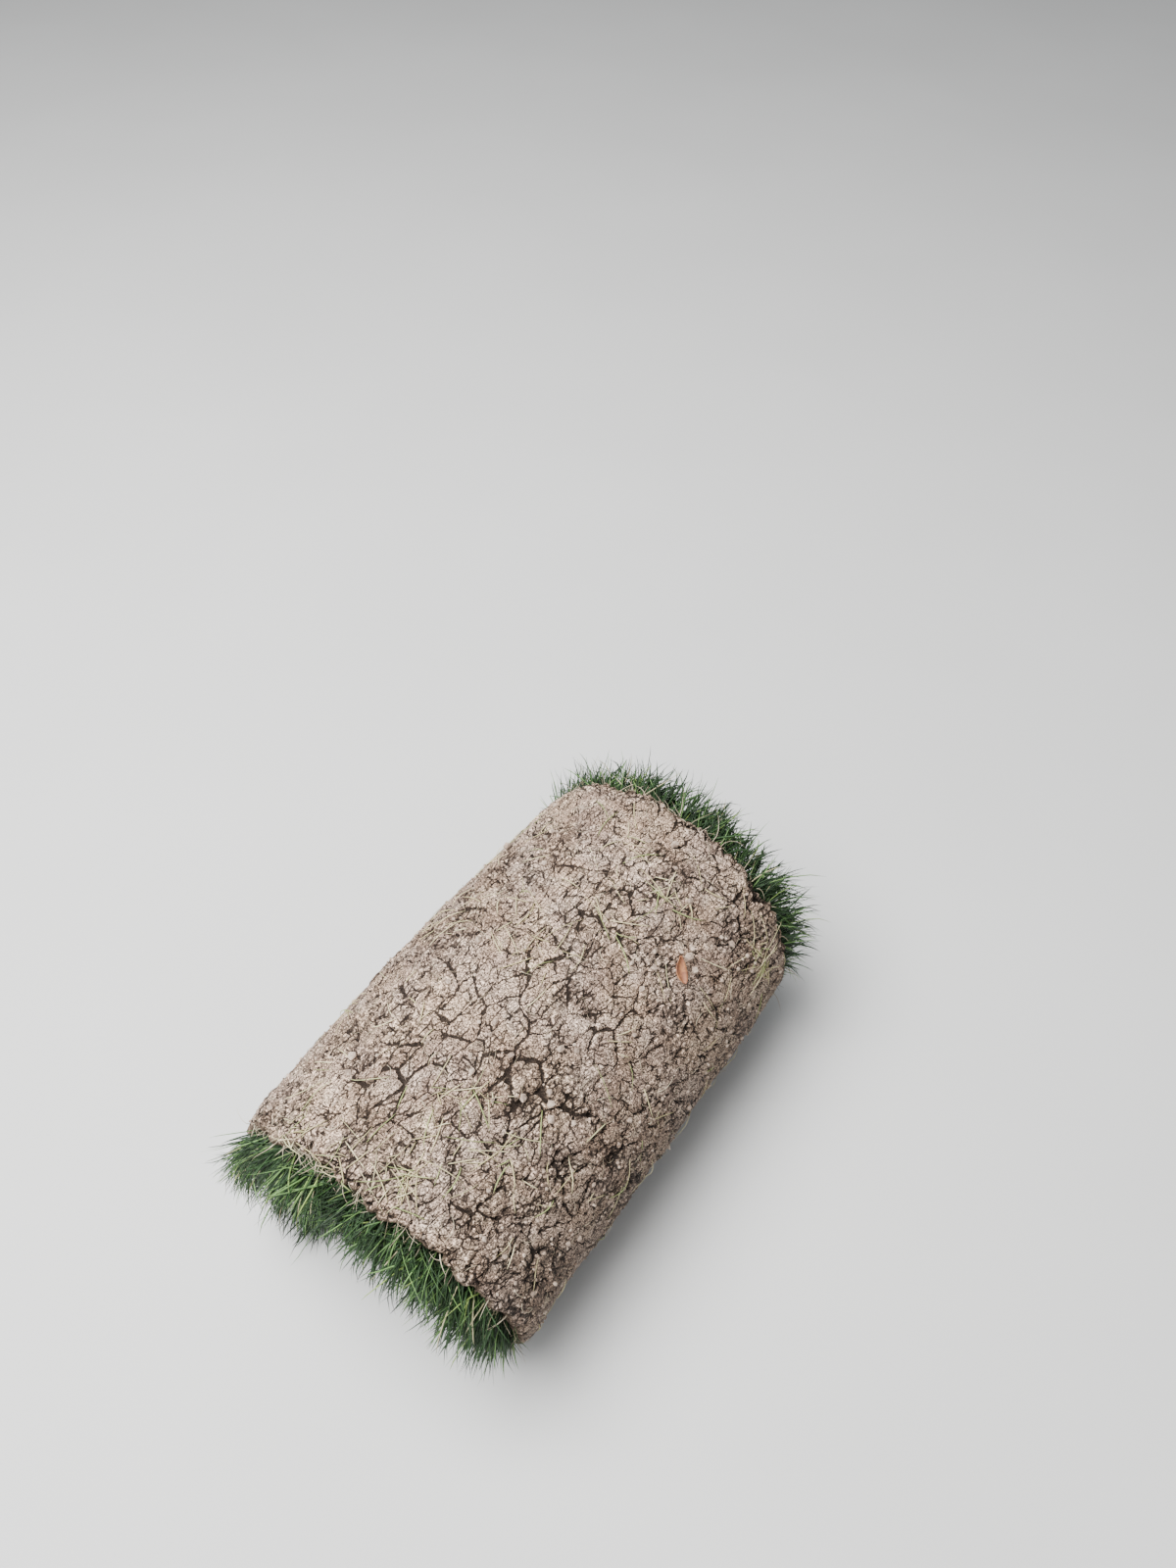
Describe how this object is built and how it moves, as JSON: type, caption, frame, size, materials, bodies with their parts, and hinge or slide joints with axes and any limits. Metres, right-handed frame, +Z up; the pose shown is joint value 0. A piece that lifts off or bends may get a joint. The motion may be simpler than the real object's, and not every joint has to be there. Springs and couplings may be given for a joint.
{
  "type": "roll of turf",
  "caption": "Rolled strip of lawn turf lying on its side, soil outwards, with grass between its turns and standing out of both ends.",
  "frame": {"origin": "on the floor, under the middle of the roll's box", "axes": "+X along the roll's axis, +Z up, the outer end of the strip comes down on the +Y side"},
  "size_m": [0.456, 0.277, 0.2407],
  "materials": {
    "soil": "dry, cracked and crumbly on top, damp and darker below",
    "grass": "dense fine blades, pressed flat between the turns"
  },
  "bodies": {
    "root": {"soil_mat": "soil", "grass_sward": "grass"}
  },
  "joints": []
}
